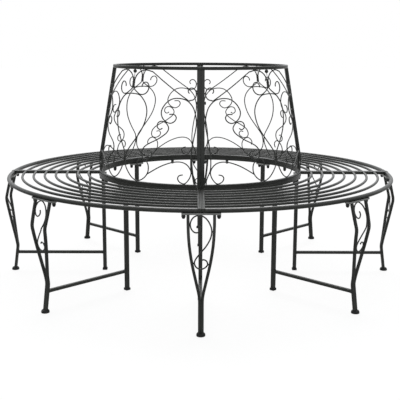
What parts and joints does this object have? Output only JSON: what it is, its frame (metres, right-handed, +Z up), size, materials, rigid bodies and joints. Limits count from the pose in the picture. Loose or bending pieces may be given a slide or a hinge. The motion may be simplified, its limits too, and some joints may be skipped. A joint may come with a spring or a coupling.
{
  "type": "tree bench",
  "caption": "Round tree bench of slim steel tube: ring seat of concentric round slats, leaning inward back with scroll panels, paired bent legs with scroll fillings",
  "frame": {"origin": "middle of the round bench on the ground, under the middle of its tree opening", "axes": "+Z up, the pictured front faces -Y, +X to the right of the picture"},
  "size_m": [1.6488, 1.6488, 0.883],
  "materials": {
    "frame": "satin",
    "caps": "matte",
    "hardware": "satin"
  },
  "bodies": {
    "root": {"seat_rim_front_right": "frame", "seat_rim_rear_right": "frame", "seat_rim_rear_left": "frame", "seat_rim_front_left": "frame", "seat_slats_front_right": "frame", "seat_slats_rear_right": "frame", "seat_slats_rear_left": "frame", "seat_slats_front_left": "frame", "seat_ring_front_right": "frame", "seat_ring_rear_right": "frame", "seat_ring_rear_left": "frame", "seat_ring_front_left": "frame", "end_bars_front_right": "frame", "end_bars_rear_right": "frame", "end_bars_rear_left": "frame", "end_bars_front_left": "frame", "top_rail_front_right": "frame", "top_rail_rear_right": "frame", "top_rail_rear_left": "frame", "top_rail_front_left": "frame", "bottom_rail_front_right": "frame", "bottom_rail_rear_right": "frame", "bottom_rail_rear_left": "frame", "bottom_rail_front_left": "frame", "posts_front_right": "frame", "posts_rear_right": "frame", "posts_rear_left": "frame", "posts_front_left": "frame", "scrolls_front_right": "frame", "scrolls_rear_right": "frame", "scrolls_rear_left": "frame", "scrolls_front_left": "frame", "collars": "frame", "finials": "frame", "outer_leg_1": "frame", "outer_leg_2": "frame", "outer_leg_3": "frame", "outer_leg_4": "frame", "outer_leg_5": "frame", "outer_leg_6": "frame", "outer_leg_7": "frame", "outer_leg_8": "frame", "inner_legs": "frame", "stretchers": "frame", "leg_scrolls": "frame", "outer_plates": "frame", "inner_plates": "frame", "outer_feet": "caps", "inner_feet": "caps", "outer_studs": "hardware", "outer_nuts": "caps", "inner_studs": "hardware", "inner_nuts": "caps", "rail_studs": "hardware", "rail_nuts": "caps", "post_bolts": "hardware", "post_nuts": "hardware"}
  },
  "joints": []
}
